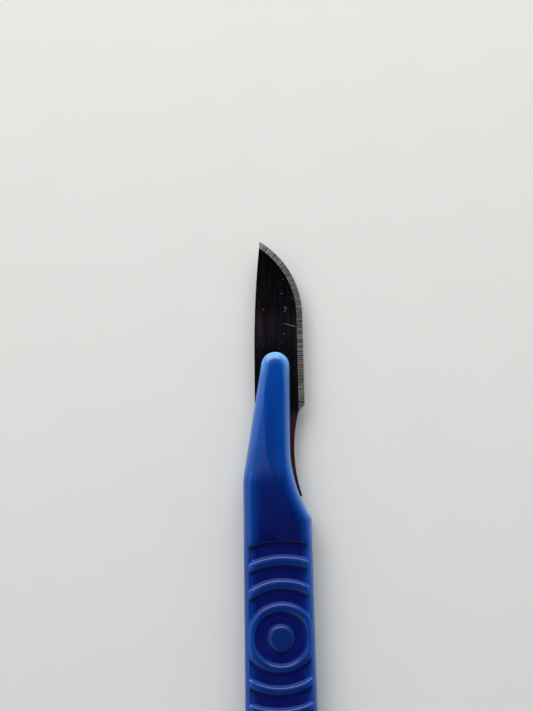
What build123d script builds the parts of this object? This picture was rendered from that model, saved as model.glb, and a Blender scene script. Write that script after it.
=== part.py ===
from build123d import *
import os
from math import asin, degrees, radians, sqrt, tan

# Disposable scalpel lying on its back face, in millimetres.
# The origin is on the resting plane, straight below the centre of the thumb button.
# +Y runs to the blade's point, +X to its cutting edge and +Z up, square to the blade's flat.

# Blade: a steel strip with a curved belly, ground on both faces along its edge.
# Its lengths run back from the point, and its widths from the spine.
blade_thickness = 0.4
point_reach = 58.1
spine_offset = 3.53
point_drop = 0.9
spine_bend_length = 16.5
belly_length = 10.7
belly_width = 7.05
edge_length = 23.9
heel_width = 7.26
heel_slant_length = 1.0
heel_slant_width = 0.9
ground_width = 0.85
ground_depth = 0.18
shank_length = 12.3
waist_hollow = 0.86
tail_width = 6.83
tail_slant_length = 3.7

# Keyhole slot through the blade, filled by the handle's plastic
slot_width = 1.6
slot_cover = 3.2
keyhole_width = 3.0
keyhole_length = 5.0
keyhole_rounding = 0.6
tail_wall = 1.2

# Handle: one moulding, with a nose that runs out over both faces of the blade.
# Its reaches are measured from the button's centre.
body_thickness = 5.0
spine_side = 5.35
edge_side = 4.65
widest_side = 5.43
widest_back = 16.0
shoulder_reach = 17.7
shoulder_rounding = 0.5
neck_reach = 28.2
bend_reach = 23.4
bend_rounding = 8.0
slope_rounding = 60.0
flank_rounding = 60.0
blade_shown = 16.1
nose_offset = 0.49
nose_radius = 2.1
nose_thickness = 3.0
rim_rounding = 1.2
crease_offset = 1.2
crease_front_offset = 2.1
facet_fall = 0.08
rear_reach = 86.9
rear_half_width = 4.2

# Grip on both faces: a round button in a ring groove, with curved grooves ahead and behind
button_radius = 2.0
ring_groove_radius = 4.0
groove_width = 2.2
groove_depth = 0.75
groove_draft = 15.0
groove_count = 3
front_rib_width = 1.27
rear_rib_width = 1.0
rear_arc_shift = 1.2
grip_margin = 0.7
lip_chamfer = 0.15

# Datums worked out from the sizes
mid_z = body_thickness / 2
spine_x = -spine_offset
nose_x = -nose_offset
nose_tip_y = point_reach - blade_shown
nose_centre = Vector(nose_x, nose_tip_y - nose_radius)
bend_corner = Vector(-spine_side, bend_reach)
shoulder_corner = Vector(edge_side, shoulder_reach)
spine_flank_corner = Vector(-spine_side, -widest_back)
edge_flank_corner = Vector(widest_side, -widest_back)
rear_centre_y = rear_half_width - rear_reach
groove_run = groove_depth * tan(radians(groove_draft))


def blade_at(back, width):
    """Point of the blade's outline this far behind its point and this far from its spine."""
    return Vector(spine_x + width, point_reach - back)


def round_corner(sketch, corner, radius):
    """Round the corner of a sketch that is nearest to a place."""
    fillet(sketch.vertices().sort_by_distance(corner)[0], radius)


def tangent_point(corner, centre, radius):
    """Where a line from the corner touches the circle, on the spine's side."""
    sight = centre - corner
    reach = sqrt(sight.length**2 - radius**2)
    return corner + sight.normalized().rotate(Axis.Z, degrees(asin(radius / sight.length))) * reach


# The blade's outline, with the slot on the nose's centre line
point = blade_at(0, point_drop)
spine_bend = blade_at(spine_bend_length, 0)
belly_end = blade_at(belly_length, belly_width)
heel = blade_at(edge_length, heel_width)
heel_foot_back = edge_length + heel_slant_length
heel_foot = blade_at(heel_foot_back, heel_width - heel_slant_width)
tail_edge_corner = blade_at(heel_foot_back + shank_length, tail_width)
tail_spine_corner = blade_at(heel_foot_back + shank_length + tail_slant_length, 0)
tail_slant = tail_slant_length / tail_width
slot_front_y = nose_tip_y - slot_cover
keyhole_rear_y = tail_spine_corner.Y + tail_slant * (nose_x + keyhole_width / 2 - spine_x) + tail_wall
slot_length = slot_front_y - keyhole_rear_y

with BuildPart() as blade:
    with BuildSketch(Plane.XY.offset(mid_z)):
        with BuildLine():
            Line(tail_spine_corner, spine_bend)
            TangentArc(spine_bend, point, tangent=(0, 1))
            belly = TangentArc(belly_end, point, tangent=belly_end - heel)
            edge = Line(belly_end, heel)
            Line(heel, heel_foot)
            SagittaArc(heel_foot, tail_edge_corner, -waist_hollow)
            Line(tail_edge_corner, tail_spine_corner)
        make_face()
        with Locations((nose_x, slot_front_y - slot_length / 2)):
            SlotOverall(slot_length, slot_width, rotation=90, mode=Mode.SUBTRACT)
        with Locations((nose_x, keyhole_rear_y + keyhole_length / 2)):
            RectangleRounded(keyhole_width, keyhole_length, keyhole_rounding, mode=Mode.SUBTRACT)
    extrude(amount=blade_thickness / 2, both=True)
    for face in (blade.faces().sort_by(Axis.Z)[0], blade.faces().sort_by(Axis.Z)[-1]):
        ground = [face.edges().sort_by_distance(run @ 0.5)[0] for run in (belly, edge)]
        chamfer(ground, length=ground_width, length2=ground_depth, reference=face)

# The handle's outline, drawn once for the body and again, set in, for the ends of the grooves
nose_touch = tangent_point(bend_corner, nose_centre, nose_radius)
nose_side_x = nose_x + nose_radius

with BuildSketch() as outline:
    with BuildLine():
        Line(bend_corner, nose_touch)
        ThreePointArc(nose_touch, (nose_x, nose_tip_y), (nose_side_x, nose_centre.Y))
        Line((nose_side_x, nose_centre.Y), (nose_side_x, neck_reach))
        TangentArc((nose_side_x, neck_reach), shoulder_corner, tangent=(0, -1))
        Line(shoulder_corner, edge_flank_corner)
        Line(edge_flank_corner, (rear_half_width, rear_centre_y))
        TangentArc((rear_half_width, rear_centre_y), (-rear_half_width, rear_centre_y), tangent=(0, -1))
        Line((-rear_half_width, rear_centre_y), spine_flank_corner)
        Line(spine_flank_corner, bend_corner)
    make_face()
    round_corner(outline, bend_corner, bend_rounding)
    round_corner(outline, shoulder_corner, shoulder_rounding)
    round_corner(outline, edge_flank_corner, flank_rounding)
    round_corner(outline, spine_flank_corner, flank_rounding)

# The handle's thickness seen from the side: parallel faces that slope down along the nose
nose_slope = (body_thickness - nose_thickness) / 2 / (nose_tip_y - bend_reach)
front_end_y = nose_tip_y + nose_radius
front_drop = nose_slope * (front_end_y - bend_reach)
rear_end_y = -rear_reach - rear_half_width
profile_points = [
    (rear_end_y, 0),
    (bend_reach, 0),
    (front_end_y, front_drop),
    (front_end_y, body_thickness - front_drop),
    (bend_reach, body_thickness),
    (rear_end_y, body_thickness),
]


def groove_section(inner, outer, centre_y=0):
    """Section of a groove between two radii, with drafted walls and chamfered lips."""
    floor_z = body_thickness - groove_depth
    foot_z = body_thickness - lip_chamfer
    above_z = body_thickness + lip_chamfer
    with BuildSketch(Plane.XZ.offset(-centre_y)) as section:
        with BuildLine():
            Polyline(
                (inner - 2 * lip_chamfer, above_z),
                (inner, foot_z),
                (inner + groove_run, floor_z),
                (outer - groove_run, floor_z),
                (outer, foot_z),
                (outer + 2 * lip_chamfer, above_z),
                close=True,
            )
        make_face()
    return section.sketch


# What the grip takes out of the handle: the ring groove and the curved ones, cut off at the sides
front_pitch = groove_width + front_rib_width
rear_pitch = groove_width + rear_rib_width
rear_axis = Axis((0, rear_arc_shift, 0), (0, 0, -1))

with BuildPart() as grip_cut:
    revolve(groove_section(button_radius, ring_groove_radius), axis=Axis.Z)
    for index in range(groove_count):
        front_radius = ring_groove_radius + front_rib_width + index * front_pitch
        front_groove = groove_section(front_radius, front_radius + groove_width)
        revolve(front_groove, axis=Axis.Z, revolution_arc=180)
        rear_radius = ring_groove_radius + rear_rib_width + rear_arc_shift + index * rear_pitch
        rear_groove = groove_section(rear_radius, rear_radius + groove_width, rear_arc_shift)
        revolve(rear_groove, axis=rear_axis, revolution_arc=180)
    with BuildSketch(Plane.XY.offset(mid_z)):
        add(outline.sketch)
        offset(amount=-grip_margin)
    extrude(amount=body_thickness, mode=Mode.INTERSECT)
    mirror(about=Plane.XY.offset(mid_z))

# What the nose's facet takes out: it falls from a crease towards the edge's side
crease_rear = Vector(-crease_offset, bend_reach, body_thickness)
crease_front = Vector(-crease_front_offset, nose_tip_y, body_thickness - nose_slope * (nose_tip_y - bend_reach))
crease = crease_front - crease_rear
facet_plane = Plane(crease_rear, x_dir=crease, z_dir=Vector(1, 0, -facet_fall).cross(crease))

with BuildPart() as facet_cut:
    with BuildSketch(facet_plane):
        Rectangle(2 * nose_tip_y, 2 * nose_tip_y)
    extrude(amount=body_thickness)
    mirror(about=Plane.XY.offset(mid_z))

with BuildPart() as handle:
    extrude(outline.sketch, amount=body_thickness)
    with BuildSketch(Plane.YZ) as profile:
        with BuildLine():
            Polyline(*profile_points, close=True)
        make_face()
        round_corner(profile, Vector(bend_reach, 0), slope_rounding)
        round_corner(profile, Vector(bend_reach, body_thickness), slope_rounding)
    extrude(amount=spine_side + widest_side, both=True, mode=Mode.INTERSECT)
    walls = handle.faces().filter_by(lambda face: abs(face.normal_at().Z) < 0.5)
    fillet(walls.edges().filter_by(Axis.Z, reverse=True), rim_rounding)
    add(facet_cut.part, mode=Mode.SUBTRACT)
    add(grip_cut.part, mode=Mode.SUBTRACT)
    add(blade.part, mode=Mode.SUBTRACT)

blade.part.label = "blade"
handle.part.label = "handle"

os.makedirs("parts", exist_ok=True)
export_step(blade.part, "parts/blade.step")
export_step(handle.part, "parts/handle.step")
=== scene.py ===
from math import acos, asin, atan2, ceil, cos, degrees, hypot, pi, radians, sin

import bmesh
import bpy
import numpy as np
from bpy.props import FloatProperty, FloatVectorProperty, IntProperty, PointerProperty
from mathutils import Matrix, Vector
from mathutils.geometry import delaunay_2d_cdt


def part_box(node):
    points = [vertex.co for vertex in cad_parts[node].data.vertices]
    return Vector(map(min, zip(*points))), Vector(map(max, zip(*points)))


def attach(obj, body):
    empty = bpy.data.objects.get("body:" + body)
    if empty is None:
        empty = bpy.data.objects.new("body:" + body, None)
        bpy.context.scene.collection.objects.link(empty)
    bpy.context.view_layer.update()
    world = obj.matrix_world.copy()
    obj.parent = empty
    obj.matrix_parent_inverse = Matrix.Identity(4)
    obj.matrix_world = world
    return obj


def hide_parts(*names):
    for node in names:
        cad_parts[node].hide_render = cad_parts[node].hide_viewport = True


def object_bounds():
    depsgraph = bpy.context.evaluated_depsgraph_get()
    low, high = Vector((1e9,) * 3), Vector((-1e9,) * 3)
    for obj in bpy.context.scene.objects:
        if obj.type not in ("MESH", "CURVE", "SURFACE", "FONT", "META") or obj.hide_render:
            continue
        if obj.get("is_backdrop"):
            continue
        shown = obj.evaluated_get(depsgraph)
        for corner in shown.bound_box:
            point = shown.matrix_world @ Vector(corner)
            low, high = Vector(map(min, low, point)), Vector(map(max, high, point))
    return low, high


# Looks of a disposable scalpel: a moulded blue handle over a dark steel blade.
# The CAD model is the frame. Its blade is kept and given a finish, and the handle is
# moulded again over the CAD handle, finer, with crowned ribs and softly creased facets.
# The handle's own shape is worked out in millimetres and scaled when its mesh is made.

bl_info = {
    "name": "Disposable scalpel",
    "version": (1, 0, 0),
    "blender": (4, 5, 0),
    "location": "View3D > Sidebar > Scalpel",
    "description": "Moulds the handle, finishes the blade and sets the stage",
    "category": "Object",
}

MM = 0.001
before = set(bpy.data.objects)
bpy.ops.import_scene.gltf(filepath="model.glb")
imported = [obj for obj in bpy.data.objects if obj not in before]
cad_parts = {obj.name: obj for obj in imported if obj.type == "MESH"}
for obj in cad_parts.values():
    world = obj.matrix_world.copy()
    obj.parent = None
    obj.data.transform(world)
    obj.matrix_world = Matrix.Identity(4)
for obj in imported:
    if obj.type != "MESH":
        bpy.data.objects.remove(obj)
cad_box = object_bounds()
handle_low, handle_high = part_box("handle")
blade_low, blade_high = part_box("blade")


# Shader maths


class Value:
    """What a socket carries, so that maths on it reads as Python."""

    def __init__(self, shader, socket):
        self.shader = shader
        self.socket = socket

    def math(self, operation, first, second):
        sockets = {"Value": first, "Value_001": second}
        return self.shader.node("ShaderNodeMath", "Value", {"operation": operation}, sockets)

    def __add__(self, other):
        return self.math("ADD", self, other)

    def __radd__(self, other):
        return self.math("ADD", other, self)

    def __sub__(self, other):
        return self.math("SUBTRACT", self, other)

    def __rsub__(self, other):
        return self.math("SUBTRACT", other, self)

    def __mul__(self, other):
        return self.math("MULTIPLY", self, other)

    def __rmul__(self, other):
        return self.math("MULTIPLY", other, self)

    def larger(self, other):
        return self.math("MAXIMUM", self, other)

    def smaller(self, other):
        return self.math("MINIMUM", self, other)

    def size(self):
        return self.math("ABSOLUTE", self, 0.0)

    def sine(self):
        return self.math("SINE", self, 0.0)

    def angle_from(self, other):
        """Angle in radians whose sine goes with this value and whose cosine with the other."""
        return self.math("ARCTAN2", self, other)

    def between(self, low, high):
        """Mask that goes evenly from 0 at the low value to 1 at the high one."""
        return self.shader.node(
            "ShaderNodeMapRange",
            "Result",
            {"interpolation_type": "LINEAR", "clamp": True},
            {"Value": self, "From Min": low, "From Max": high},
        )

    def rising(self, low, high):
        """Mask that goes smoothly from 0 at the low value to 1 at the high one."""
        return self.shader.node(
            "ShaderNodeMapRange",
            "Result",
            {"interpolation_type": "SMOOTHSTEP"},
            {"Value": self, "From Min": low, "From Max": high},
        )


class Shader:
    """A node tree that is filled by expressions."""

    def __init__(self, tree):
        self.tree = tree
        tree.nodes.clear()

    @staticmethod
    def find(sockets, name):
        """The socket with this identifier, or else with this name."""
        exact = [socket for socket in sockets if socket.identifier == name]
        return (exact or [socket for socket in sockets if socket.name == name])[0]

    def node(self, kind, output, settings=None, sockets=None):
        """One new node: its settings are set first, then its sockets are given values or links."""
        made = self.tree.nodes.new(kind)
        for name, setting in (settings or {}).items():
            setattr(made, name, setting)
        for name, given in (sockets or {}).items():
            socket = self.find(made.inputs, name)
            if isinstance(given, Value):
                self.tree.links.new(given.socket, socket)
            elif hasattr(given, "__len__"):
                socket.default_value = tuple(given)[: len(socket.default_value)]
            else:
                socket.default_value = given
        return Value(self, self.find(made.outputs, output)) if output else made

    def vector_math(self, operation, sockets, output="Vector"):
        return self.node("ShaderNodeVectorMath", output, {"operation": operation}, sockets)

    def mixed(self, mask, first, second):
        """The first colour where the mask is 0 and the second where it is 1."""
        return self.node(
            "ShaderNodeMix",
            "Result_Color",
            {"data_type": "RGBA"},
            {"Factor_Float": mask, "A_Color": first, "B_Color": second},
        )

    def shaded(self, colour, level):
        """The colour, made darker or lighter by a level around 1."""
        return self.vector_math("SCALE", {"Vector": colour, "Scale": level})

    def place(self):
        """Place on the object, in millimetres."""
        at = self.node("ShaderNodeTexCoord", "Object")
        return self.vector_math("SCALE", {"Vector": at, "Scale": 1 / MM})

    def parts(self, vector):
        """The three parts of a vector."""
        split = self.node("ShaderNodeSeparateXYZ", None, sockets={"Vector": vector})
        return [Value(self, output) for output in split.outputs]

    def joined(self, x, y, z):
        """A vector from its three parts."""
        return self.node("ShaderNodeCombineXYZ", "Vector", sockets={"X": x, "Y": y, "Z": z})

    def distance(self, first, second):
        """Distance between two places."""
        return self.vector_math("DISTANCE", {"Vector": first, "Vector_001": second}, "Value")

    def stretched(self, vector, sizes):
        """The vector with each part divided by a grain's size along that axis."""
        scale = tuple(1 / size for size in sizes)
        return self.vector_math("MULTIPLY", {"Vector": vector, "Vector_001": scale})

    def turned(self, vector, angle):
        """The vector turned about Z."""
        return self.node(
            "ShaderNodeVectorRotate",
            "Vector",
            {"rotation_type": "Z_AXIS"},
            {"Vector": vector, "Angle": radians(angle)},
        )

    def grain(self, vector, sizes, detail=2.0, roughness=0.5):
        """Smooth random grain between 0 and 1, of these sizes along the axes."""
        sockets = {"Vector": self.stretched(vector, sizes), "Scale": 1.0}
        sockets.update({"Detail": detail, "Roughness": roughness})
        return self.node("ShaderNodeTexNoise", "Fac", {"noise_dimensions": "3D"}, sockets)

    def specks(self, vector, spacing, radius, share):
        """Round specks on this share of a loose grid."""
        sockets = {"Vector": self.stretched(vector, (spacing,) * 3), "Scale": 1.0}
        settings = {"voronoi_dimensions": "3D", "feature": "F1"}
        cells = self.node("ShaderNodeTexVoronoi", None, settings, sockets)
        distance = Value(self, cells.outputs["Distance"])
        chance = self.parts(Value(self, cells.outputs["Color"]))[0]
        speck = 1.0 - distance.rising(0.5 * radius / spacing, radius / spacing)
        return speck * chance.rising(1.0 - share, 1.001 - share)

    def bumped(self, height, strength, distance):
        """Normal that follows a height."""
        sockets = {"Height": height, "Strength": strength, "Distance": distance}
        return self.node("ShaderNodeBump", "Normal", sockets=sockets)

    def surface(self, **sockets):
        """The finished surface."""
        named = {name.replace("_", " "): given for name, given in sockets.items()}
        finish = self.node("ShaderNodeBsdfPrincipled", "BSDF", sockets=named)
        self.node("ShaderNodeOutputMaterial", None, sockets={"Surface": finish})


def new_material(name):
    """A material with an empty tree, and the shader that fills it."""
    material = bpy.data.materials.new(name)
    material.use_nodes = True
    return material, Shader(material.node_tree)


def opaque(colour):
    """Three parts of a colour, with full alpha."""
    return (*colour, 1.0)


# Handle: sizes and colours


class HandleSettings(bpy.types.PropertyGroup):
    """Sizes and colours of the moulded handle"""

    thickness: FloatProperty(
        name="Thickness",
        description="Thickness of the handle's body",
        default=handle_high.z - handle_low.z,
        unit="LENGTH",
    )
    nose_thickness: FloatProperty(
        name="Nose thickness",
        description="Thickness at the nose's tip",
        default=3.0 * MM,
        unit="LENGTH",
    )
    rim_rounding: FloatProperty(
        name="Rim rounding",
        description="Radius of the body's long edges",
        default=1.2 * MM,
        unit="LENGTH",
    )
    facet_fall: FloatProperty(
        name="Facet fall",
        description="Slope of the nose's facet towards the edge's side",
        default=0.08,
    )
    button_radius: FloatProperty(
        name="Button radius",
        description="Radius of the thumb button",
        default=1.9 * MM,
        unit="LENGTH",
    )
    ring_radius: FloatProperty(
        name="Ring radius",
        description="Outer radius of the ring groove",
        default=3.93 * MM,
        unit="LENGTH",
    )
    groove_width: FloatProperty(
        name="Groove width",
        description="Width of a curved groove",
        default=2.14 * MM,
        unit="LENGTH",
    )
    groove_depth: FloatProperty(
        name="Groove depth",
        description="Depth of every groove",
        default=0.75 * MM,
        unit="LENGTH",
    )
    groove_count: IntProperty(
        name="Grooves",
        description="Curved grooves on each side of the button",
        default=3,
        min=0,
        max=3,
    )
    rib_crown: FloatProperty(
        name="Rib crown",
        description="How far a rib's edges lie under its crest",
        default=0.13 * MM,
        unit="LENGTH",
    )
    # Painted light: the groove floors' colour is lighter than the thick plastic, to lift their
    # shade.
    lifted_groove_colour: FloatVectorProperty(
        name="Groove colour",
        description="Colour of the plastic at the bottom of the grooves",
        default=(0.0012, 0.0055, 0.102),
        subtype="COLOR",
        size=3,
        min=0,
        max=1,
    )
    thick_colour: FloatVectorProperty(
        name="Thick colour",
        description="Colour of the plastic where it is thick",
        default=(0.0010, 0.0035, 0.066),
        subtype="COLOR",
        size=3,
        min=0,
        max=1,
    )
    thin_colour: FloatVectorProperty(
        name="Thin colour",
        description="Colour of the plastic where it is thin",
        default=(0.0005, 0.045, 0.27),
        subtype="COLOR",
        size=3,
        min=0,
        max=1,
    )
    # Painted glow and highlight: the colour that the rims and the nose's tip are lightened towards.
    edge_glow_colour: FloatVectorProperty(
        name="Edge colour",
        description="Colour of the plastic at its thinnest edges",
        default=(0.13, 0.36, 0.72),
        subtype="COLOR",
        size=3,
        min=0,
        max=1,
    )


# Handle: outline

spine_side = -handle_low.x / MM
widest_side = 5.43
widest_back = 16.0
edge_side = 4.65
shoulder_reach = 17.7
shoulder_rounding = 0.5
neck_reach = 28.2
bend_reach = 23.4
bend_rounding = 8.0
flank_rounding = 60.0
nose_x = -0.49
nose_radius = 2.1
nose_tip_y = handle_high.y / MM
rear_half_width = 4.2
rear_centre_y = handle_low.y / MM + rear_half_width
longest_step = 1.0
wall_draft = 0.03


def arc(centre, radius, start, end, step=0.2):
    """Points along an arc between two angles in degrees, both ends included."""
    count = max(2, ceil(abs(radians(end - start)) * radius / step))
    angles = np.radians(np.linspace(start, end, count + 1))
    return np.stack([centre[0] + radius * np.cos(angles), centre[1] + radius * np.sin(angles)], 1)


def rounded(before, corner, after, radius, step=0.2):
    """Points of the arc that rounds a corner between two straight runs."""
    before, corner, after = (np.array(point, float) for point in (before, corner, after))
    back = (before - corner) / np.linalg.norm(before - corner)
    ahead = (after - corner) / np.linalg.norm(after - corner)
    half = acos(np.clip(back @ ahead, -1, 1)) / 2
    middle = (back + ahead) / np.linalg.norm(back + ahead)
    centre = corner + middle * radius / sin(half)
    first = corner + back * radius / np.tan(half) - centre
    last = corner + ahead * radius / np.tan(half) - centre
    start = degrees(atan2(first[1], first[0]))
    turn = (degrees(atan2(last[1], last[0])) - start + 180) % 360 - 180
    return arc(centre, radius, start, start + turn, step)


def handle_outline():
    """The handle seen from above, as a closed run of points with the plastic on its left."""
    nose_y = nose_tip_y - nose_radius
    nose_side = nose_x + nose_radius
    bend = (-spine_side, bend_reach)
    sight = (nose_x - bend[0], nose_y - bend[1])
    touch = degrees(atan2(sight[1], sight[0]) + asin(nose_radius / hypot(*sight))) + 90
    nose = arc((nose_x, nose_y), nose_radius, 0, touch, 0.12)
    shoulder = (edge_side, shoulder_reach)
    out, down = edge_side - nose_side, neck_reach - shoulder_reach
    neck_radius = (out**2 + down**2) / (2 * out)
    sweep = degrees(asin(down / neck_radius))
    neck = arc((nose_side + neck_radius, neck_reach), neck_radius, 180 + sweep, 180, 0.3)
    spine_flank, edge_flank = (-spine_side, -widest_back), (widest_side, -widest_back)
    rear_left, rear_right = (-rear_half_width, rear_centre_y), (rear_half_width, rear_centre_y)
    runs = [
        nose,
        rounded(nose[-1], bend, spine_flank, bend_rounding, 0.3),
        rounded(bend, spine_flank, rear_left, flank_rounding, 0.5),
        arc((0, rear_centre_y), rear_half_width, 180, 360),
        rounded(rear_right, edge_flank, shoulder, flank_rounding, 0.5),
        rounded(edge_flank, shoulder, neck[2], shoulder_rounding, 0.1),
        neck[2:],
    ]
    corners = np.concatenate(runs)
    points = []
    for first, last in zip(corners, np.roll(corners, -1, 0)):
        length = np.linalg.norm(last - first)
        if length > 1e-6:
            count = max(1, ceil(length / longest_step))
            points += [first + (last - first) * k / count for k in range(count)]
    return np.array(points)


def inward(outline):
    """Unit directions into the plastic at the outline's points."""
    along = np.roll(outline, -1, 0) - np.roll(outline, 1, 0)
    along /= np.linalg.norm(along, axis=1)[:, None]
    return np.stack([-along[:, 1], along[:, 0]], 1)


def set_in(outline, amount):
    """The outline moved into the plastic."""
    return outline + inward(outline) * amount


def edge_distance(outline, places):
    """Distance from places to the outline."""
    start, end = outline, np.roll(outline, -1, 0)
    run = end - start
    squared = (run**2).sum(1)
    found = np.empty(len(places))
    for first in range(0, len(places), 2000):
        some = places[first : first + 2000, None, :]
        share = np.clip(((some - start) * run).sum(2) / squared, 0, 1)
        gap = some - (start + share[:, :, None] * run)
        found[first : first + 2000] = np.sqrt((gap**2).sum(2)).min(1)
    return found


# Handle: heights of the upper face

button_shift = 0.15
front_start = 5.29
front_rib_width = 1.30
rear_start = 6.01
rear_rib_width = 1.12
rear_arc_shift = 1.2
arc_tilt = 2.0
end_margin = 0.75
end_run = 0.25
wall_run = 0.2
lip_softness = 0.16
floor_softness = 0.035
crown_width = 0.65
bend_softness = 0.6
spine_facet_fall = 0.10
spine_facet_start = (22.8, 26.0)
spine_facet_fade = (26.0, 38.0)
crease_places = (
    (42, -2.15),
    (31, -2.08),
    (27.5, -1.92),
    (26.2, -1.68),
    (24.4, -0.95),
    (22.7, -0.12),
    (12, 4.5),
)
crease_fade = (15.5, 22.5)
crease_sharpening = (20.5, 25.5)
crisp_crease = 0.10
blurred_crease = 1.4
far_outside = -99.0


def soft_ramp(value, softness):
    """0 for low values and the value itself for high ones, with a soft start."""
    inside = np.clip(value + softness, 0, 2 * softness)
    return np.where(value > softness, value, inside**2 / (4 * softness))


def smooth_step(value, low, high):
    """0 up to the low value and 1 from the high one, with a smooth way between."""
    share = np.clip((value - low) / (high - low), 0, 1)
    return share * share * (3 - 2 * share)


def grooves(handle):
    """Each groove as its centre, the side of the button it is on, and its two radii."""
    width = handle.groove_width / MM
    tilt = sin(radians(arc_tilt))
    found = [((0.0, button_shift), 0, handle.button_radius / MM, handle.ring_radius / MM)]
    for index in range(handle.groove_count):
        front = front_start + index * (width + front_rib_width)
        rear = rear_start + index * (width + rear_rib_width)
        found.append(((front * tilt, 0.0), 1, front, front + width))
        found.append(((-rear * tilt, rear_arc_shift), -1, rear, rear + width))
    return found


def depth_into_groove(handle, places, edge):
    """How far each place lies inside a groove's edge, with negative values outside every groove."""
    past_end = edge - end_margin
    past_end = np.where(past_end > 0, past_end * wall_run / end_run, past_end)
    deepest = np.full(len(places), far_outside)
    for centre, side, inner, outer in grooves(handle):
        radius = np.hypot(places[:, 0] - centre[0], places[:, 1] - centre[1])
        inside = np.minimum(radius - inner, outer - radius)
        if side:
            inside = np.minimum(np.minimum(inside, side * places[:, 1]), past_end)
        deepest = np.maximum(deepest, inside)
    return deepest


def crease_at(y):
    """X of the crease between the nose's two facets."""
    reach, across = zip(*crease_places[::-1])
    return np.interp(y, reach, across)


def face_height(handle, places):
    """Height of the nose's and the body's facets, before the rims are rounded."""
    x, y = places[:, 0], places[:, 1]
    thickness = handle.thickness / MM
    slope = (thickness - handle.nose_thickness / MM) / 2 / (nose_tip_y - bend_reach)
    height = thickness - slope * soft_ramp(y - bend_reach, bend_softness)
    crease = crease_at(y)
    softness = crisp_crease + blurred_crease * (1 - smooth_step(y, *crease_sharpening))
    edge_fall = handle.facet_fall * smooth_step(y, *crease_fade)
    spine_fall = spine_facet_fall * smooth_step(y, *spine_facet_start)
    spine_fall = spine_fall * (1 - 0.5 * smooth_step(y, *spine_facet_fade))
    height = height - edge_fall * soft_ramp(x - crease, softness)
    return height - spine_fall * soft_ramp(crease - x, softness)


def groove_drop(handle, inside):
    """How far a groove, or a rib's crown, drops under the face."""
    depth = handle.groove_depth / MM
    wall = soft_ramp(inside, lip_softness) - soft_ramp(inside - wall_run, floor_softness)
    crown = np.clip(1 + inside / crown_width, 0, 1) ** 2
    return depth * wall / wall_run + handle.rib_crown / MM * crown


def upper_height(handle, outline, places):
    """Height of the handle's upper face over these places."""
    rounding = handle.rim_rounding / MM
    edge = edge_distance(outline, places)
    gap = np.clip(rounding - edge, 0, rounding)
    rim = rounding - np.sqrt(rounding**2 - gap**2)
    inside = depth_into_groove(handle, places, edge)
    return face_height(handle, places) - rim - groove_drop(handle, inside)


# Handle: tone and painted light, which are stored in the mesh

pale_places = (
    (42, 0.96),
    (39.5, 0.86),
    (36, 0.66),
    (25.4, 0.50),
    (23.3, 0.22),
    (20.5, 0.12),
    (15, 0.0),
)
spine_facet_painted_light = 0.20
facet_tone_start = (23.3, 24.2)
facet_tone_rise = (24.5, 31.0)
button_painted_light = 0.28
button_rim = (2.0, 2.4)
rib_gain = 0.06
grip_back = (-12.8, -12.0)
grip_front = (12.8, 13.6)
beyond_grip_back = (-16.0, -11.0)
beyond_grip_front = (11.5, 16.0)
rim_width = 0.4
rim_fade = (0.0, 0.9)
rim_reach = 0.42
parting_glow = 0.8
lip_painted_highlight = 0.20
lip_slopes = (0.12, 0.75)
front_wall_painted_light = 0.12
front_wall_slopes = (0.1, 0.6)
end_wall_painted_light = 0.06
end_wall_slopes = (0.3, 0.8)
side_tone_and_light = 0.86
side_share_taken = 0.9
spine_side_reach = (0.6, 2.7)
edge_side_reach = (0.3, 2.1)
groove_end_painted_light = 0.75
groove_side_reach = (0.5, 1.9)
wall_reach = 0.45
end_reach = (0.9, 1.7)
end_light = 1.3


def pale_along(y):
    """How pale the plastic looks along the handle: the flat nose is thinner than the body."""
    reach, share = zip(*pale_places[::-1])
    return np.interp(y, reach, share)


def rim_glow(x, y):
    """Painted glow and highlight on the very rim: more on the edge's side, and most at the nose's
    tip.
    """
    return 0.38 + 0.35 * smooth_step(x, -0.8, 0.8) + 0.75 * smooth_step(y, 38.0, 41.0)


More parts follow.
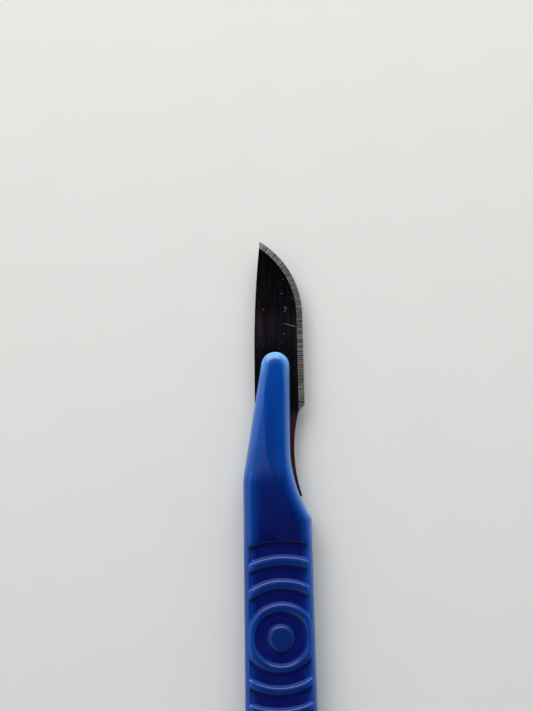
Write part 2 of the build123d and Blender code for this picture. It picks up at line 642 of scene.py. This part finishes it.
def tone_and_painted_light(handle, outline, places, normals):
    """How pale the plastic is painted: paler where it is thin, plus painted light on lips, ribs,
    walls, flanks and rims.
    """
    x, y = places[:, 0], places[:, 1]
    edge = edge_distance(outline, places)
    inside = depth_into_groove(handle, places, edge)
    off_rim = smooth_step(edge, *rim_fade)
    near_grip = smooth_step(y, *beyond_grip_back) * (1 - smooth_step(y, *beyond_grip_front))

    # Painted light: the spine's facet on the nose is made paler than the edge's facet.
    spine_facet = smooth_step(crease_at(y) - x, -0.1, 0.1) * smooth_step(y, *facet_tone_start)
    facet_painted_light = spine_facet_painted_light * spine_facet * smooth_step(y, *facet_tone_rise)
    along = pale_along(y) + facet_painted_light

    # Painted light: the raised ribs and button in the grip are made paler.
    in_grip = smooth_step(y, *grip_back) * (1 - smooth_step(y, *grip_front))
    off_button = smooth_step(np.hypot(x, y), *button_rim)
    raised = 1 - smooth_step(inside, 0.0, 0.3)
    lit_ribs = (button_painted_light + rib_gain * off_button) * raised * in_grip * off_rim

    # Painted highlight: lips and walls that face the window at +Y are made paler.
    past_rim = edge > rim_width
    lit_lip = lip_painted_highlight * smooth_step(normals[:, 1], *lip_slopes) * (inside > -0.4) * past_rim
    # Painted light: walls facing -Y and the grooves' end walls are made paler, lifting their shade.
    front_wall = front_wall_painted_light * smooth_step(-normals[:, 1], *front_wall_slopes)
    end_wall = end_wall_painted_light * smooth_step(abs(normals[:, 0]), *end_wall_slopes)
    wall = (front_wall + end_wall) * (inside > -0.3) * past_rim

    # Paler towards the long edges: partly the thinner rounded rim, partly painted light on the
    # flanks; inside the grooves it is painted light near their ends.
    spine_side_fade = smooth_step(edge, *spine_side_reach)
    edge_side_fade = smooth_step(edge, *edge_side_reach)
    side = side_tone_and_light * (1 - np.where(x < 0, spine_side_fade, edge_side_fade))
    side *= (1 - side_share_taken * along) * (1 - 0.4 * near_grip * off_rim)
    in_groove = smooth_step(inside, -0.1, 0.1)
    lit_groove_end = groove_end_painted_light * (1 - smooth_step(edge, *groove_side_reach))
    side = side * (1 - in_groove) + lit_groove_end * in_groove

    # Painted glow and highlight along the rim.
    rim = np.exp(-edge / rim_reach) * rim_glow(x, y) * (1 - 0.3 * near_grip)
    return along + lit_ribs + lit_lip + side + rim + wall


def grooved_share(handle, outline, places):
    """Share of the grooves' colour, and above one painted light that lifts the floors' shade under
    the front walls and beside the ends.
    """
    edge = edge_distance(outline, places)
    inside = depth_into_groove(handle, places, edge)
    ahead = depth_into_groove(handle, places + (0.0, wall_reach), edge)
    under_wall = 1 - smooth_step(ahead, -0.1, 0.35)
    beside_end = 1 - smooth_step(edge, *end_reach)
    in_groove = smooth_step(inside, 0.0, 0.25)
    return in_groove * (1 + np.maximum(under_wall, end_light * beside_end))


def wall_tone_and_painted_light(places):
    """How pale the walls are painted half-way down, at the parting line: thickness tone, painted
    flank light and painted rim glow.
    """
    x, y = places[:, 0], places[:, 1]
    along = pale_along(y)
    return along + side_tone_and_light * (1 - side_share_taken * along) + parting_glow * rim_glow(x, y)


# Handle: mesh

rim_rings = 8
groove_steps = (-0.62, -0.4, -0.2, -0.13, -0.08, -0.03, 0.02, 0.07, 0.12, 0.16, 0.2, 0.24, 0.28)
crease_shifts = (-1.0, -0.5, -0.24, -0.12, -0.04, 0.04, 0.12, 0.24, 0.5, 1.0)
bend_shifts = (-1.4, -0.9, -0.6, -0.3, 0.0, 0.3, 0.6, 0.9, 1.4)
bend_points = 24
crease_run = (12.0, 41.5, 0.4)
bend_run_end = 4.0
guide_margin = 0.4
groove_guide_margin = 0.3
nearest_ring = 0.1
past_grooves = 0.5
crossing_slack = 0.01
filler_sides = (-5.2, 5.3)
filler_bands = ((16.0, nose_tip_y, 0.7), (-17.0, 16.0, 0.9), (-90.0, -17.0, 2.5))
filler_gap = 1.25
merge_distance = 1e-3
slope_step = 0.004


def guide_lines(handle, outline):
    """Runs of points that the mesh's edges follow, so that every crease and wall is crisp."""
    rounding = handle.rim_rounding / MM
    lines = []

    def keep(points, wanted, closed):
        """Adds the stretches of a run whose points are wanted."""
        stretch = []
        for point, good in zip(points, wanted):
            if good:
                stretch.append(point)
                continue
            if len(stretch) > 1:
                lines.append(stretch)
            stretch = []
        if closed and len(stretch) == len(points):
            stretch.append(points[0])
        if len(stretch) > 1:
            lines.append(stretch)

    for angle in np.linspace(0, 90, rim_rings + 1)[1:]:
        amount = rounding * (1 - cos(radians(angle)))
        inner = set_in(outline, amount)
        keep(inner, edge_distance(outline, inner) > amount - crossing_slack, True)
    outer = max(outer for _, _, _, outer in grooves(handle))
    for step in groove_steps:
        amount = end_margin + (step * end_run / wall_run if step > 0 else step)
        if amount > nearest_ring:
            inner = set_in(outline, amount)
            near = np.abs(inner[:, 1]) < outer + past_grooves
            apart = edge_distance(outline, inner) > amount - crossing_slack
            keep(inner, near & apart, True)
    for centre, side, inner, outer in grooves(handle):
        for step in groove_steps:
            for radius in (inner + step, outer - step):
                if side == 0:
                    points = arc(centre, radius, 0, 360, 0.2)[:-1]
                    wanted = True
                else:
                    start = 0 if side > 0 else 180
                    points = arc(centre, radius, start, start + 180, 0.22)
                    wanted = side * points[:, 1] > 0
                wanted = wanted & well_inside(outline, points, groove_guide_margin)
                keep(points, wanted, side == 0)
    reach = np.arange(*crease_run)
    for shift in crease_shifts:
        points = np.stack([crease_at(reach) + shift, reach], 1)
        keep(points, well_inside(outline, points, guide_margin), False)
    across = np.linspace(-spine_side, bend_run_end, bend_points)
    for shift in bend_shifts:
        points = np.stack([across, np.full(bend_points, bend_reach + shift)], 1)
        keep(points, well_inside(outline, points, guide_margin), False)
    return lines


def inside_outline(outline, places):
    """Whether places lie inside the outline."""
    x, y = places[:, 0][:, None], places[:, 1][:, None]
    start, end = outline, np.roll(outline, -1, 0)
    crosses = (start[:, 1] > y) != (end[:, 1] > y)
    rise = np.where(end[:, 1] == start[:, 1], 1.0, end[:, 1] - start[:, 1])
    at = start[:, 0] + (y - start[:, 1]) / rise * (end[:, 0] - start[:, 0])
    return (crosses & (x < at)).sum(1) % 2 == 1


def well_inside(outline, places, margin):
    """Whether places lie inside the outline and further than a margin from it."""
    return inside_outline(outline, places) & (edge_distance(outline, places) > margin)


def filler_places(outline):
    """Loose points between the guide lines: close together on the nose and grip, few behind."""
    found = []
    for low, high, step in filler_bands:
        rows = np.arange(low, high, step)
        columns = np.arange(*filler_sides, step)
        grid = np.stack(np.meshgrid(columns, rows), -1).reshape(-1, 2)
        found.append(grid)
    places = np.concatenate(found)
    return places[well_inside(outline, places, filler_gap)]


def upper_sheet(handle, outline):
    """Places and triangles of the upper face, seen from above."""
    points = [tuple(point) for point in outline]
    rim = list(range(len(points)))
    edges = list(zip(rim, rim[1:] + rim[:1]))
    for line in guide_lines(handle, outline):
        first = len(points)
        points += [tuple(point) for point in line]
        edges += [(k, k + 1) for k in range(first, len(points) - 1)]
    points += [tuple(point) for point in filler_places(outline)]
    within_edges = 1
    points = [Vector(point) for point in points]
    made = delaunay_2d_cdt(points, edges, [], within_edges, merge_distance)
    return np.array([tuple(vertex) for vertex in made[0]]), np.array(made[2])


def upper_normals(handle, outline, places):
    """Directions square to the upper face at these places."""
    slopes = []
    for axis in range(2):
        step = np.zeros(2)
        step[axis] = slope_step
        ahead = upper_height(handle, outline, places + step)
        behind = upper_height(handle, outline, places - step)
        slopes.append((ahead - behind) / (2 * slope_step))
    normals = np.stack([-slopes[0], -slopes[1], np.ones(len(places))], 1)
    return normals / np.linalg.norm(normals, axis=1)[:, None]


def rim_loop(faces):
    """The sheet's rim as one closed run of point numbers, with the sheet on its left."""
    directed = {pair for a, b, c in faces for pair in ((a, b), (b, c), (c, a))}
    ahead = {first: last for first, last in directed if (last, first) not in directed}
    loop = [next(iter(ahead))]
    while len(loop) < len(ahead):
        loop.append(ahead[loop[-1]])
    if ahead[loop[-1]] != loop[0] or len(set(loop)) != len(loop):
        raise RuntimeError("the handle's rim is not one closed run")
    return loop


def handle_mesh(handle):
    """The whole handle: an upper face, the same face below, and walls with a fine parting line."""
    outer = handle_outline()
    outline = set_in(outer, wall_draft)
    places, faces = upper_sheet(handle, outline)
    used = np.unique(faces)
    renumber = np.zeros(len(places), int)
    renumber[used] = np.arange(len(used))
    places, faces = places[used], renumber[faces]
    corners = places[faces]
    flipped = np.cross(corners[:, 1] - corners[:, 0], corners[:, 2] - corners[:, 0]) < 0
    faces[flipped] = faces[flipped][:, ::-1]
    count = len(places)
    thickness = handle.thickness / MM
    loop = np.array(rim_loop(faces))
    height = upper_height(handle, outline, places)
    normals = upper_normals(handle, outline, places)
    out = -inward(places[loop])
    normals[loop] = np.concatenate([out, np.zeros((len(loop), 1))], 1)
    upper = np.column_stack([places, height])
    lower = np.column_stack([places, thickness - height])
    middle = np.column_stack([places[loop] + out * wall_draft, np.full(len(loop), thickness / 2)])
    points = np.concatenate([upper, lower, middle])
    directions = np.concatenate([normals, normals * (1, 1, -1), normals[loop]])
    tone_and_light = tone_and_painted_light(handle, outline, places, normals)
    tone_and_light = np.concatenate([tone_and_light, tone_and_light, wall_tone_and_painted_light(places[loop])])
    groove_share_and_light = grooved_share(handle, outline, places)
    groove_share_and_light = np.concatenate([groove_share_and_light, groove_share_and_light, np.zeros(len(loop))])
    following = np.roll(np.arange(len(loop)), -1)
    polygons = [tuple(face) for face in faces]
    polygons += [tuple(face[::-1] + count) for face in faces]
    for here, after in zip(range(len(loop)), following):
        parting, next_parting = 2 * count + here, 2 * count + after
        polygons.append((loop[after], loop[here], parting, next_parting))
        polygons.append((next_parting, parting, loop[here] + count, loop[after] + count))
    mesh = bpy.data.meshes.new("handle_moulding")
    polygons = [[int(k) for k in polygon] for polygon in polygons]
    mesh.from_pydata((points * MM).tolist(), [], polygons)
    mesh.update()
    mesh.polygons.foreach_set("use_smooth", [True] * len(mesh.polygons))
    for name, values in (("tone_and_painted_light", tone_and_light), ("groove_share_and_light", groove_share_and_light)):
        layer = mesh.attributes.new(name, "FLOAT", "POINT")
        layer.data.foreach_set("value", values.astype(np.float32))
    mesh.normals_split_custom_set_from_vertices(directions.tolist())
    return mesh


# Handle: plastic

dust_colour = (0.30, 0.36, 0.46)
plastic_ior = 1.49
relief_strength = 0.12
plastic_relief = 0.02 * MM


def blue_plastic(handle):
    """Glossy blue plastic, pale where it is thin, with painted light on lips, ribs, walls, rims and
    groove floors, faint flow marks and handling scuffs.
    """
    material, shader = new_material("blue_plastic")
    at = shader.place()
    tone_and_light = shader.node("ShaderNodeAttribute", "Fac", {"attribute_name": "tone_and_painted_light"})
    groove_share_and_light = shader.node("ShaderNodeAttribute", "Fac", {"attribute_name": "groove_share_and_light"})
    flow = shader.grain(at, (0.5, 7.0, 0.8), 3.0)
    cloud = shader.grain(at, (2.6, 3.4, 2.6), 2.0)
    scuffs = shader.grain(shader.turned(at, 24), (0.06, 1.7, 0.3), 2.0).rising(0.70, 0.78)
    scuffs = scuffs * cloud.rising(0.45, 0.6)
    dust = shader.specks(at, 2.3, 0.07, 0.16)
    depth = tone_and_light + 0.10 * (cloud - 0.5) + 0.05 * (flow - 0.5)
    thick, lifted_groove = opaque(handle.thick_colour), opaque(handle.lifted_groove_colour)
    # Painted light: the groove floors get a lighter colour, lifted further under the walls and
    # beside the ends.
    body = shader.mixed(groove_share_and_light.between(0.0, 1.0), thick, lifted_groove)
    body = shader.shaded(body, 1.0 + end_light * groove_share_and_light.between(1.0, 1.0 + end_light))
    body = shader.mixed(depth.between(0.0, 1.0), body, opaque(handle.thin_colour))
    # Painted glow and highlight where the tone passes 1, at the rims and the nose's tip.
    body = shader.mixed(depth.between(1.0, 2.0), body, opaque(handle.edge_glow_colour))
    body = shader.shaded(body, 0.95 + 0.10 * flow)
    body = shader.mixed(0.35 * dust, body, opaque(dust_colour))
    skin = shader.grain(at, (0.16, 0.16, 0.16), 2.0)
    roughness = 0.16 + 0.06 * cloud + 0.12 * scuffs + 0.25 * dust
    relief = skin + 0.6 * flow + 1.5 * dust
    shader.surface(
        Base_Color=body,
        Roughness=roughness,
        IOR=plastic_ior,
        Normal=shader.bumped(relief, relief_strength, plastic_relief),
    )
    return material


# Blade: finish


class BladeSettings(bpy.types.PropertyGroup):
    """Colours and grinding of the blade"""

    steel_colour: FloatVectorProperty(
        name="Steel colour",
        description="Colour of the blade's flat",
        default=(0.168, 0.168, 0.228),
        subtype="COLOR",
        size=3,
        min=0,
        max=1,
    )
    # Painted reflection: the purplish tint on the flat.
    reflection_tint_colour: FloatVectorProperty(
        name="Tint colour",
        description="Colour of the faint bloom on the flat",
        default=(0.270, 0.142, 0.196),
        subtype="COLOR",
        size=3,
        min=0,
        max=1,
    )
    # Painted reflection: the reddish colour of the shank beside the nose.
    shank_reflection_colour: FloatVectorProperty(
        name="Shank colour",
        description="Colour of the shank beside the nose",
        default=(0.17, 0.034, 0.038),
        subtype="COLOR",
        size=3,
        min=0,
        max=1,
    )
    ground_colour: FloatVectorProperty(
        name="Ground colour",
        description="Colour of the ground bevel",
        default=(0.27, 0.27, 0.255),
        subtype="COLOR",
        size=3,
        min=0,
        max=1,
    )
    grind_spacing: FloatProperty(
        name="Grind spacing",
        description="Distance between the fine lines across the bevel",
        default=0.29 * MM,
        unit="LENGTH",
    )


blade_middle = (blade_low.z + blade_high.z) / 2 / MM
belly_centre = (-9.21, 47.2)
belly_radius = 12.73
bevel_tilt = (0.985, 0.995)
bevel_floor = (0.4, 0.6)
bevel_dimming = (46.5, 53.5)
shank_start = 34.0
shank_fade = 2.5
# Painted reflection: the flat's bright band and its darker tip.
bright_band = (41.5, 45.0, 46.0, 49.0)
tip_dimming = (49.0, 55.0)
wear_spots = (
    (0.53, 50.5, 0.16, 0.6),
    (0.93, 48.54, 0.13, 1.0),
    (1.15, 48.32, 0.12, 1.0),
    (0.98, 47.96, 0.13, 0.9),
    (0.83, 44.6, 0.13, 0.6),
    (0.52, 43.3, 0.14, 0.35),
    (0.75, 52.6, 0.14, 0.5),
    (2.04, 49.7, 0.13, 0.55),
    (2.62, 49.3, 0.15, 0.7),
    (-2.13, 48.2, 0.17, 0.5),
)
scratch_start = (0.55, 46.2)
scratch_end = (2.75, 45.6)
scratch_width = (0.02, 0.07)
scratch_fade = 0.5
worn_colour = (0.70, 0.68, 0.68)
steel_relief = 0.01 * MM


def wear_marks(shader, x, y):
    """The small round marks: each one's place, size and strength."""
    level_place = shader.joined(x, y, 0.0)
    for *spot, radius, strength in wear_spots:
        away = shader.distance(level_place, (*spot, 0.0))
        yield strength, 1.0 - away.rising(0.4 * radius, radius)


def long_scratch(x, y):
    """The one long scratch, soft at both ends."""
    run = (scratch_end[0] - scratch_start[0], scratch_end[1] - scratch_start[1])
    length = hypot(*run)
    across, up = run[0] / length, run[1] / length
    past_start = (x - scratch_start[0]) * across + (y - scratch_start[1]) * up
    beside = (x - scratch_start[0]) * up - (y - scratch_start[1]) * across
    mark = (1.0 - beside.size().rising(*scratch_width)) * past_start.rising(0.0, scratch_fade)
    return mark * (1.0 - past_start.rising(length - scratch_fade, length))


def grind_lines(shader, x, y, z, spacing):
    """Fine lines square to the edge, along its straight run and round its belly."""
    straight = y - belly_centre[1]
    turn = straight.angle_from(x - belly_centre[0])
    along = straight.smaller(0.0) + belly_radius * turn.larger(0.0)
    drift = shader.grain(shader.joined(along, x, z), (2.5, 2.5, 2.5), 2.0)
    even = 0.5 + 0.5 * (2 * pi * (along * (1 / spacing) + 1.4 * drift)).sine()
    grain_sizes = (0.55 * spacing, 0.6, 0.6)
    coarse = shader.grain(shader.joined(along, 0.12 * x, z), grain_sizes, 2.0, 0.6)
    return 0.35 * even + 0.65 * coarse.rising(0.25, 0.75)


def blade_steel(blade):
    """Dark polished steel with faint streaks, painted reflections (a reddish shank, purplish
    patches, a bright band and a darker tip), and a bevel with grind lines.
    """
    material, shader = new_material("blade_steel")
    at = shader.place()
    x, y, z = shader.parts(at)
    facing = shader.parts(shader.node("ShaderNodeNewGeometry", "True Normal"))[2].size()
    bevel = (1.0 - facing.rising(*bevel_tilt)) * facing.rising(*bevel_floor)
    upper = z.rising(blade_middle, blade_middle + 0.1)

    wide_streaks = shader.grain(at, (0.42, 9.0, 1.0), 2.0, 0.5)
    narrow_streaks = shader.grain(at, (0.09, 5.0, 1.0), 3.0, 0.6)
    streaks = 0.6 * wide_streaks + 0.4 * narrow_streaks
    fine_streaks = shader.grain(at, (0.035, 9.0, 1.0), 2.0)
    reflection_patches = shader.grain(at, (1.6, 6.0, 2.0), 2.0)
    specks = 0.5 * shader.specks(at, 1.3, 0.10, 0.14)
    for strength, mark in wear_marks(shader, x, y):
        specks = specks.larger(strength * upper * mark)
    scratches = shader.grain(shader.turned(at, 17), (0.03, 2.2, 1.0), 1.0).rising(0.74, 0.80)
    crossing = shader.grain(shader.turned(at, -38), (0.03, 1.5, 1.0), 1.0).rising(0.77, 0.82)
    marks = (0.6 * scratches.larger(crossing)).larger(long_scratch(x, y) * upper)
    lines = grind_lines(shader, x, y, z, blade.grind_spacing / MM)

    # Painted reflection: a brighter band across the flat, brighter still by the spine, and darker
    # towards the tip.
    low, risen, falling, gone = bright_band
    band = y.rising(low, risen) * (1.0 - y.rising(falling, gone))
    reflected_tint = reflection_patches.rising(0.35, 0.7) * (0.3 + 0.7 * band)
    shank = 1.0 - y.rising(shank_start - shank_fade, shank_start)
    spine_glow = 0.5 * band * (1.0 - x.rising(-3.4, -0.6))
    painted_reflection_level = (0.75 + 0.7 * band + spine_glow) * (1.0 - 0.45 * y.rising(*tip_dimming))
    # Painted reflection: purplish patches, strongest in the bright band.
    flat = shader.mixed(reflected_tint, opaque(blade.steel_colour), opaque(blade.reflection_tint_colour))
    # Painted reflection: the shank beside the nose is reddish.
    flat = shader.mixed(0.9 * shank, flat, opaque(blade.shank_reflection_colour))
    flat = shader.shaded(flat, (0.76 + 0.28 * streaks.rising(0.3, 0.7)) * painted_reflection_level)
    flat = shader.mixed(0.28 * specks + 0.17 * marks, flat, opaque(worn_colour))
    ground = shader.shaded(opaque(blade.ground_colour), 0.35 + 1.2 * lines.rising(0.2, 0.8))
    # Painted shade: the ground bevel is darker towards the tip.
    ground = shader.shaded(ground, 1.0 - 0.42 * y.rising(*bevel_dimming))

    roughness = 0.13 + 0.045 * streaks.rising(0.35, 0.7) + 0.35 * specks
    roughness = roughness + 0.25 * marks + 0.22 * shank
    relief = 0.4 * streaks + 0.4 * fine_streaks - 1.2 * marks + 0.8 * specks
    relief = (1.0 - bevel) * relief + bevel * 4.0 * lines
    shader.surface(
        Base_Color=shader.mixed(bevel, flat, ground),
        Metallic=1.0,
        Roughness=(1.0 - bevel) * roughness + bevel * (0.30 + 0.16 * lines),
        Normal=shader.bumped(relief, relief_strength, steel_relief),
    )
    return material


# Stage


class StageSettings(bpy.types.PropertyGroup):
    """Floor, light and camera"""

    floor_colour: FloatVectorProperty(
        name="Floor colour",
        description="Colour of the plain floor",
        default=(0.62, 0.62, 0.60),
        subtype="COLOR",
        size=3,
        min=0,
        max=1,
    )
    light_power: FloatProperty(
        name="Light power",
        description="Power of the large soft light",
        default=4.0,
        unit="POWER",
        min=0,
    )
    camera_height: FloatProperty(
        name="Camera height",
        description="Camera's height over the floor",
        default=0.5803,
        unit="LENGTH",
    )
    focal_length: FloatProperty(
        name="Focal length",
        description="Camera's focal length",
        default=200.0,
        unit="CAMERA",
    )


floor_reach = 1.5
floor_gap = 0.02 * MM
window_place = (-0.05, 0.45, 0.28)
window_aim = (0, 0.03, 0)
window_size = (0.6, 0.5)
horizon_level = 0.66
horizon_dimming = 0.36
overhead_dimming = 0.985
beyond_level = 0.7
left_level = 0.50
crest_level = 0.19
warm_tone = (0.98, 0.97, 0.96)
cool_tone = (0.96, 0.98, 1.0)
camera_place = (-0.00176, 0.04146)
camera_turn = -0.5
sensor_width = 36.0


def pale_floor(stage):
    """Matt floor with a barely visible grain."""
    material, shader = new_material("pale_floor")
    at = shader.place()
    grain = shader.grain(at, (9.0, 9.0, 9.0), 3.0)
    shader.surface(
        Base_Color=shader.shaded(opaque(stage.floor_colour), 0.985 + 0.03 * grain),
        Roughness=0.55 + 0.1 * grain,
    )
    return material


def soft_room(world):
    """Soft light from all round, dark overhead and bright beyond the blade's point."""
    world.use_nodes = True
    shader = Shader(world.node_tree)
    x, y, z = shader.parts(shader.node("ShaderNodeTexCoord", "Generated"))
    horizon = horizon_level - horizon_dimming * (0.0 - y).rising(0.1, 0.7)
    beyond = beyond_level * y.rising(0.35, 0.85) * (1.0 - z.rising(0.5, 0.85))
    left = left_level * (0.0 - x).rising(0.06, 0.22) * z.rising(0.5, 0.8)
    crest = crest_level * y.rising(0.13, 0.36) * z.rising(0.50, 0.80)
    level = horizon * (1.0 - overhead_dimming * z.rising(0.50, 0.95)) + beyond + left + crest
    tone = shader.mixed(y.rising(-0.5, 0.8), opaque(warm_tone), opaque(cool_tone))
    sockets = {"Color": tone, "Strength": level}
    light = shader.node("ShaderNodeBackground", "Background", sockets=sockets)
    shader.node("ShaderNodeOutputWorld", None, sockets={"Surface": light})


# Operators


class SCALPEL_OT_mould_handle(bpy.types.Operator):
    """Mould the handle over the CAD handle and give it its plastic"""

    bl_idname = "scalpel.mould_handle"
    bl_label = "Mould handle"

    def execute(self, context):
        handle = context.scene.scalpel_handle
        piece = bpy.data.objects.new("handle_moulding", handle_mesh(handle))
        context.scene.collection.objects.link(piece)
        piece.data.materials.append(blue_plastic(handle))
        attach(piece, "root")
        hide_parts("handle")
        return {"FINISHED"}


class SCALPEL_OT_finish_blade(bpy.types.Operator):
    """Give the CAD blade its steel"""

    bl_idname = "scalpel.finish_blade"
    bl_label = "Finish blade"

    def execute(self, context):
        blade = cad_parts["blade"]
        blade.data.materials.clear()
        blade.data.materials.append(blade_steel(context.scene.scalpel_blade))
        return {"FINISHED"}


class SCALPEL_OT_set_stage(bpy.types.Operator):
    """Lay the floor, light the room and place the camera"""

    bl_idname = "scalpel.set_stage"
    bl_label = "Set stage"

    def execute(self, context):
        stage = context.scene.scalpel_stage
        mesh = bpy.data.meshes.new("floor")
        shape = bmesh.new()
        bmesh.ops.create_grid(shape, x_segments=8, y_segments=8, size=floor_reach)
        bmesh.ops.translate(shape, verts=shape.verts, vec=(0, 0, -floor_gap))
        shape.to_mesh(mesh)
        shape.free()
        mesh.materials.append(pale_floor(stage))
        floor = bpy.data.objects.new("floor", mesh)
        context.scene.collection.objects.link(floor)
        floor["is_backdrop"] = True
        context.scene.world = bpy.data.worlds.new("soft_room")
        soft_room(context.scene.world)
        lamp = bpy.data.lights.new("window", "AREA")
        lamp.shape = "RECTANGLE"
        lamp.size, lamp.size_y = window_size
        lamp.energy = stage.light_power
        window = bpy.data.objects.new("window", lamp)
        window.location = window_place
        sight = Vector(window_aim) - window.location
        window.rotation_euler = sight.to_track_quat("-Z", "Y").to_euler()
        context.scene.collection.objects.link(window)
        lens = bpy.data.cameras.new("camera")
        lens.lens = stage.focal_length
        lens.sensor_width = sensor_width
        lens.clip_start = MM
        camera = bpy.data.objects.new("camera", lens)
        camera.location = (*camera_place, stage.camera_height)
        camera.rotation_euler = (0, 0, radians(camera_turn))
        context.scene.collection.objects.link(camera)
        context.scene.camera = camera
        context.scene.view_settings.view_transform = "Standard"
        return {"FINISHED"}


class SCALPEL_PT_panel(bpy.types.Panel):
    """The scalpel's pieces, in the sidebar"""

    bl_idname = "SCALPEL_PT_panel"
    bl_label = "Disposable scalpel"
    bl_space_type = "VIEW_3D"
    bl_region_type = "UI"
    bl_category = "Scalpel"

    def draw(self, context):
        for settings, operator in STEPS:
            box = self.layout.box()
            group = getattr(context.scene, settings)
            for name in type(group).__annotations__:
                box.prop(group, name)
            box.operator(operator)


STEPS = (
    ("scalpel_handle", "scalpel.mould_handle"),
    ("scalpel_blade", "scalpel.finish_blade"),
    ("scalpel_stage", "scalpel.set_stage"),
)
GROUPS = {
    "scalpel_handle": HandleSettings,
    "scalpel_blade": BladeSettings,
    "scalpel_stage": StageSettings,
}
CLASSES = (
    HandleSettings,
    BladeSettings,
    StageSettings,
    SCALPEL_OT_mould_handle,
    SCALPEL_OT_finish_blade,
    SCALPEL_OT_set_stage,
    SCALPEL_PT_panel,
)


def register():
    for item in CLASSES:
        bpy.utils.register_class(item)
    for name, group in GROUPS.items():
        setattr(bpy.types.Scene, name, PointerProperty(type=group))


def unregister():
    for name in GROUPS:
        delattr(bpy.types.Scene, name)
    for item in reversed(CLASSES):
        bpy.utils.unregister_class(item)


def main():
    register()
    bpy.ops.scalpel.set_stage()
    bpy.ops.scalpel.mould_handle()
    bpy.ops.scalpel.finish_blade()
    sizes = {"cad": cad_box, "visual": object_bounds()}
    {name: [list(corner) for corner in box] for name, box in sizes.items()}


if __name__ == "__main__":
    main()
